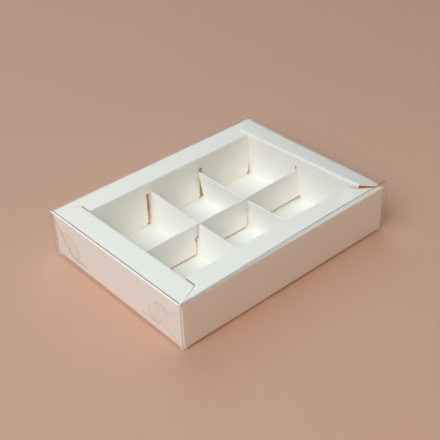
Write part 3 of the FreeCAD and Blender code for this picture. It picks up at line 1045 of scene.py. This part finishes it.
# Shape of the lid's folds. Its top and its sides are separate meshes, with a crease that bends between.
FILM_CREASE = 1.1 * MM
FILM_LIP = 1 * MM
FILM_WAVE = 0.12 * MM
LID_FOLDS = Folds(LID_TOP, 2 * LID_Y, FILM_LIP, FILM_CREASE)
LID_TRIM = 2 * MM
FILM_FINISHES = (FILM_SHEET, FILM_SHEET, FILM_CUT)
TOP_FINISHES = (FILM_SHEET, FILM_SHEET, FILM_SHEET)
TOP_CUTS = 6 * MM
SIDE_CUTS = 8 * MM
LONG_SIDE_ROWS = 3 * MM
SHORT_SIDE_ROWS = 5 * MM

# The lid lies on the propped rim: high at its front right corner, low along its back.
LID_SINK_BACK = 2.95 * MM
LID_SINK_FRONT_LEFT = 1.8 * MM
SINK_CURVE = 1.5


def settle(x, y):
    """How far the lid is lifted at a place, less than nothing where it has sunk."""
    left = part_way(-x, -LID_X, LID_X)
    back = part_way(y, -LID_Y, LID_Y)
    return -LID_SINK_BACK * back - LID_SINK_FRONT_LEFT * left ** SINK_CURVE * (1 - back)


def settled_top(u, s):
    return settle(u, s - LID_FOLDS.rim(LID_Y))


def settled_side(side):
    """The rule for how far a side of the lid has sunk, which is the same all the way down it."""
    turn = TURNS[side]
    reach = LID_Y if side in ("front", "back") else LID_X

    def rule(u, s):
        x = u * math.cos(turn) + reach * math.sin(turn)
        y = u * math.sin(turn) - reach * math.cos(turn)
        return settle(x, y)
    return rule


def lid_top():
    end = LID_X - FILM_CREASE
    near = LID_FOLDS.rim(FILM_CREASE)
    far = LID_FOLDS.rim(2 * LID_Y - FILM_CREASE)
    outline = [(-end, near), (end, near), (end, far), (-end, far)]
    along = inside(-end, end, TOP_CUTS)
    across = inside(near, far, TOP_CUTS)
    blank = cut_blank("lid_top_film", outline, along, across, lift=settled_top)
    piece = fold("lid_top_film", blank, LID_FOLDS, LID_Y, 0.0, FILM, TOP_FINISHES, 0.0)
    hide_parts("lid_top_panel")
    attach(piece, "lid")


def lower_corner(end):
    """The cut lower corner of a lid side, from its foot up."""
    return [(end - LID_TRIM, LID_FOLDS.wall(LID_FOOT)), (end, LID_FOLDS.wall(LID_FOOT + LID_TRIM))]


# Corner locks: places on them are an inset from the lid's corner and a level.
TAB_CREASE = 1.1 * MM
TAB_SLACK = bend_slack(TAB_CREASE)
TAB_HEAD_DROP = 4.4 * MM
TAB_FOOT_RISE = 2 * MM
SLIT_HEAD = Vector((9.8 * MM, LID_UNDERSIDE - 10.9 * MM))
SLIT_FOOT = Vector((18.5 * MM, LID_FOOT + 7.6 * MM))
SLIT_LINE = (SLIT_FOOT - SLIT_HEAD).normalized()
SLIT_END_INSET = 32 * MM
SLIT_WIDTH = 0.7 * MM
SLIT_SHARES = (-1, -0.5, 0, 0.5, 1)
TONGUE_TIP = Vector((25.5 * MM, LID_FOOT + 9.2 * MM))
TONGUE_BULGE = 7.0 * MM
TONGUE_STEPS = 12
NECK_HEAD_SHARE = 0.06
NECK_FOOT_SHARE = 0.9
FILM_CORNER_STEPS = 5
TAB_CUTS = 2 * MM
TAB_LENGTH = 26 * MM


def on_tab(inset, level):
    """A place on a lock tab's flat blank."""
    return LID_LONG_END + inset - TAB_SLACK, LID_FOLDS.wall(level)


def lock_tab():
    """The outline of a lock tab, from the foot of its root up to its head, round its tongue."""
    neck_head = SLIT_HEAD.lerp(SLIT_FOOT, NECK_HEAD_SHARE)
    neck_foot = SLIT_HEAD.lerp(SLIT_FOOT, NECK_FOOT_SHARE)
    chord = neck_head - TONGUE_TIP
    bulge_way = Vector((-chord.y, chord.x)).normalized() * -1
    tongue = []
    for step in range(TONGUE_STEPS + 1):
        turn = math.pi * step / TONGUE_STEPS
        middle = TONGUE_TIP.lerp(neck_head, (1 - math.cos(turn)) / 2)
        tongue.append(middle + bulge_way * TONGUE_BULGE * math.sin(turn))
    root_foot = Vector((TAB_CREASE, LID_FOOT + TAB_FOOT_RISE))
    root_head = Vector((TAB_CREASE, LID_UNDERSIDE - TAB_HEAD_DROP))
    return [on_tab(place.x, place.y) for place in (root_foot, neck_foot, *tongue, root_head)]


def slit_side(u, s):
    """How far a place on a tab lies past the slit's line, towards the tongue."""
    inset = abs(u) - LID_LONG_END + TAB_SLACK
    level = s - LID_FOLDS.wall_start + LID_FOLDS.crease
    away = Vector((inset, level)) - SLIT_HEAD
    return SLIT_LINE.x * away.y - SLIT_LINE.y * away.x


def through_slit(u, s):
    """A tongue comes out through its slit and lies on the outside of the short side."""
    return (TONGUE_X - FILM_WAVE - LID_LONG_END) * smooth(slit_side(u, s), -SLIT_WIDTH, SLIT_WIDTH)


def slit_cuts():
    """Slanting cuts along the slit's line in both tabs, where the tongue bends outwards."""
    head = on_tab(SLIT_HEAD.x, SLIT_HEAD.y)
    cuts = []
    for sign in (-1, 1):
        normal = Vector((-SLIT_LINE.y * sign, SLIT_LINE.x, 0))
        for share in SLIT_SHARES:
            cuts.append((Vector((head[0] * sign, head[1], 0)) + normal * SLIT_WIDTH * share, normal))
    return cuts


def lid_long_side(side):
    folds = LID_FOLDS
    name = f"lid_{side}_film"
    end = LID_LONG_END - TAB_CREASE
    right_side = [*lower_corner(end), *lock_tab(), (end, folds.rim_fold - TAB_HEAD_DROP / 2),
                  (end, folds.rim_fold)]
    outline = right_side + mirrored_ends(right_side)
    along = inside(-end, end, SIDE_CUTS) + corner_cuts(end, TAB_CREASE, FILM_CORNER_STEPS)
    along += [sign * u for sign in (-1, 1) for u in spread(end + TAB_CUTS, end + TAB_LENGTH, TAB_CUTS)]
    across = inside(folds.wall(LID_FOOT), folds.rim_fold, LONG_SIDE_ROWS)
    blank = cut_blank(name, outline, along, across, slants=slit_cuts(), lift=settled_side(side),
                      bow=through_slit)
    piece = fold(name, blank, folds, LID_Y - FILM_WAVE, TURNS[side], FILM, FILM_FINISHES, FILM_WAVE,
                 LID_LONG_END, TAB_CREASE)
    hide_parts(f"lid_long_side_{side}", f"lid_lock_tab_{side}_left", f"lid_lock_tab_{side}_right")
    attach(piece, f"lid_{side}")


def lock_slit(sign):
    """The L of a lock's slit: in from the corner and down, then along the side."""
    half = SLIT_WIDTH / 2
    foot = LID_FOLDS.wall(SLIT_FOOT.y)
    head = LID_FOLDS.wall(SLIT_HEAD.y)
    low_foot = foot - SLIT_WIDTH
    corners = [(SLIT_HEAD.x - half, head), (SLIT_HEAD.x + half, head), (SLIT_FOOT.x + half, foot),
               (SLIT_END_INSET, foot), (SLIT_END_INSET, low_foot), (SLIT_FOOT.x - half, low_foot)]
    return [(sign * (LID_Y - inset), s) for inset, s in corners]


def lid_short_side(side):
    folds = LID_FOLDS
    name = f"lid_{side}_film"
    right_side = [*lower_corner(LID_Y), (LID_Y, folds.rim_fold)]
    outline = right_side + mirrored_ends(right_side)
    along = inside(-LID_Y, LID_Y, SIDE_CUTS)
    across = inside(folds.wall(LID_FOOT), folds.rim_fold, SHORT_SIDE_ROWS)
    slits = [lock_slit(-1), lock_slit(1)]
    blank = cut_blank(name, outline, along, across, holes=slits, lift=settled_side(side))
    piece = fold(name, blank, folds, LID_X, TURNS[side], FILM, FILM_FINISHES, 0.0)
    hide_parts(f"lid_short_side_{side}")
    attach(piece, f"lid_{side}")


# Creases of the lid: each has one finish on the upper part of its bend and one on the part below, so the
# way a part faces picks
# its painted light: a painted dark reflection above, and below it painted grey haze at the front and a
# painted glint at the left.
UPPER_BENDS = {"front": FRONT_PAINTED_DARK_LINE, "left": FILM_PAINTED_DARK_LINE, "back": FILM_BEND, "right": FILM_BEND}
LOWER_BENDS = {"front": FRONT_PAINTED_HAZE, "left": FILM_PAINTED_GLINT, "back": FILM_SHEET, "right": FILM_SHEET}
UPPER_SLOPE = 0.85
LOWER_BEND = 2


def lid_crease(side, reach, half):
    """The bend between the lid's top and a side, which opens as the side is folded out."""
    folds = LID_FOLDS
    name = f"lid_crease_{side}"
    end = half - FILM_CREASE
    start = folds.rim_fold
    stop = folds.rim_start
    outline = [(-end, start), (end, start), (end, stop), (-end, stop)]
    along = inside(-end, end, SIDE_CUTS)
    across = inside(start, stop, (stop - start) / CREASE_STEPS)
    blank = cut_blank(name, outline, along, across, lift=settled_side(side))
    finishes = (UPPER_BENDS[side], FILM_SHEET, LOWER_BENDS[side])
    piece = fold(name, blank, folds, reach, TURNS[side], FILM, finishes, 0.0)
    # Outer faces that point up take the upper, darker finish and those below take the lower one; the
    # reverse and the cut edges stay clear.
    for face in piece.data.polygons:
        if face.material_index != FACE:
            face.material_index = REVERSE
        elif face.normal.z <= UPPER_SLOPE:
            face.material_index = LOWER_BEND
    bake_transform(piece)


def lid():
    lid_top()
    for side in ("front", "back"):
        lid_long_side(side)
        lid_crease(side, LID_Y, LID_X)
    for side in ("left", "right"):
        lid_short_side(side)
        lid_crease(side, LID_X, LID_Y)


# Stage: a floor of matt paint, which gives one soft tone with hardly any gloss. It is some metres wide and
# lies a hair below the box, so that the two never touch.
FLOOR_HALF = 3.0
FLOOR_LEVEL = -0.02 * MM
FLOOR_CLOUD = 0.25
FLOOR_SHADE = "#D2A790"
FLOOR_PALE = "#D8AE98"
FLOOR_ROUGHNESS = 0.6


def floor():
    material, tree = new_material("matt_painted_floor")
    place = add_node(tree, "ShaderNodeTexCoord").outputs["Object"]
    cloud = add_node(tree, "ShaderNodeTexNoise", None, {
        "Vector": place, "Scale": 1 / FLOOR_CLOUD, "Detail": 2.0})
    tone = add_node(tree, "ShaderNodeMix", {"data_type": "RGBA"}, {
        "Factor": cloud.outputs[0], MIX_FIRST: linear(FLOOR_SHADE), MIX_SECOND: linear(FLOOR_PALE)})
    surface = add_node(tree, "ShaderNodeBsdfPrincipled", None, {
        "Base Color": tone.outputs[MIX_RESULT], "Roughness": FLOOR_ROUGHNESS})
    add_node(tree, "ShaderNodeOutputMaterial", None, {"Surface": surface.outputs[0]})
    signs = ((-1, -1), (1, -1), (1, 1), (-1, 1))
    corners = [(x * FLOOR_HALF, y * FLOOR_HALF, FLOOR_LEVEL) for x, y in signs]
    mesh = bpy.data.meshes.new("floor")
    mesh.from_pydata(corners, [], [(0, 1, 2, 3)])
    mesh.materials.append(material)
    plane = bpy.data.objects.new("floor", mesh)
    bpy.context.scene.collection.objects.link(plane)


# Light: daylight from the left and a warm fill from the viewer's side, in square soft boxes that face the
# box. Each has its place and its width in metres, its power in watts and its colour.
SOFT_BOXES = {
    "daylight_soft_box": ((-2.0, 0.0, 2.4), 1.8, 46.0, "#C8F0FC"),
    "fill_soft_box": ((-1.6, -1.8, 2.6), 1.0, 45.0, "#F0D8BC"),
    "low_fill_soft_box": ((-2.2, -1.0, 1.8), 1.4, 22.0, "#F2D2D2"),
}

# A dim room that is lighter at the back, with a window in it that the film's gloss shows.
ROOM_WAY = Vector((0, 0.8, 0.6))
ROOM_COLOUR = "#FFDCF0"
ROOM_STRENGTH = 0.51
ROOM_FALL = 3.0
WINDOW_WAY = Vector((0.30, 0.64, 0.71))
WINDOW_COLOUR = "#D7FFF9"
WINDOW_STRENGTH = 1.5
WINDOW_RIM = 0.90
WINDOW_CORE = 0.99


def soft_box(name, place, width, power, colour):
    lamp = bpy.data.lights.new(name, "AREA")
    lamp.shape = "SQUARE"
    lamp.size = width
    lamp.energy = power
    lamp.color = linear(colour)[:3]
    holder = bpy.data.objects.new(name, lamp)
    holder.location = place
    holder.rotation_euler = Vector(place).to_track_quat("Z", "Y").to_euler()
    bpy.context.scene.collection.objects.link(holder)


def towards(tree, way, target):
    """How squarely a way of the sky points at a target: 1 there, less beside it."""
    node = add_node(tree, "ShaderNodeVectorMath", {"operation": "DOT_PRODUCT"}, {
        0: way, 1: target.normalized()})
    return Field(tree, node.outputs["Value"])


def light():
    for name, (place, width, power, colour) in SOFT_BOXES.items():
        soft_box(name, place, width, power, colour)
    world = bpy.data.worlds.new("studio")
    world.use_nodes = True
    tree = world.node_tree
    tree.nodes.clear()
    way = add_node(tree, "ShaderNodeTexCoord").outputs["Generated"]
    back = towards(tree, way, ROOM_WAY).at_least(0.0).math("POWER", ROOM_FALL) * ROOM_STRENGTH
    pane = add_node(tree, "ShaderNodeMapRange", {"interpolation_type": "SMOOTHSTEP"}, {
        "Value": towards(tree, way, WINDOW_WAY).socket, "From Min": WINDOW_RIM, "From Max": WINDOW_CORE})
    window = Field(tree, pane.outputs[0]) * WINDOW_STRENGTH
    room = add_node(tree, "ShaderNodeBackground", None, {
        "Color": linear(ROOM_COLOUR), "Strength": back.socket})
    glow = add_node(tree, "ShaderNodeBackground", None, {
        "Color": linear(WINDOW_COLOUR), "Strength": window.socket})
    sky = add_node(tree, "ShaderNodeAddShader", None, {0: room.outputs[0], 1: glow.outputs[0]})
    add_node(tree, "ShaderNodeOutputWorld", None, {"Surface": sky.outputs[0]})
    bpy.context.scene.world = world


# Camera, fitted to the tray's edges in the photograph.
PHOTO_WIDTH = 440
FOCAL_LENGTH_PIXELS = 920.0
SENSOR_WIDTH = 36.0
AZIMUTH = math.radians(-39.976)
ELEVATION = math.radians(35.318)
ROLL = math.radians(-2.436)
DISTANCE = 565.0 * MM
AIM = Vector((13.68, 16.75, 0)) * MM
NEAREST_VIEW = 10 * MM


def camera():
    data = bpy.data.cameras.new("camera")
    data.sensor_width = SENSOR_WIDTH
    data.lens = FOCAL_LENGTH_PIXELS / PHOTO_WIDTH * SENSOR_WIDTH
    data.clip_start = NEAREST_VIEW
    back = Vector((math.sin(AZIMUTH) * math.cos(ELEVATION), -math.cos(AZIMUTH) * math.cos(ELEVATION),
                   math.sin(ELEVATION)))
    right = Vector((math.cos(AZIMUTH), math.sin(AZIMUTH), 0))
    up = back.cross(right)
    turned_right = right * math.cos(ROLL) + up * math.sin(ROLL)
    turned_up = up * math.cos(ROLL) - right * math.sin(ROLL)
    axes = Matrix((turned_right, turned_up, back)).transposed()
    holder = bpy.data.objects.new("camera", data)
    holder.matrix_world = Matrix.Translation(AIM + back * DISTANCE) @ axes.to_4x4()
    bpy.context.scene.collection.objects.link(holder)
    bpy.context.scene.camera = holder


# A view along the lid passes through many layers of film.
FILM_LAYERS = 32

tray()
base()
long_divider()
cross_dividers()
lid()
floor()
light()
camera()
bpy.context.scene.view_settings.view_transform = "Standard"
bpy.context.scene.cycles.transparent_max_bounces = FILM_LAYERS
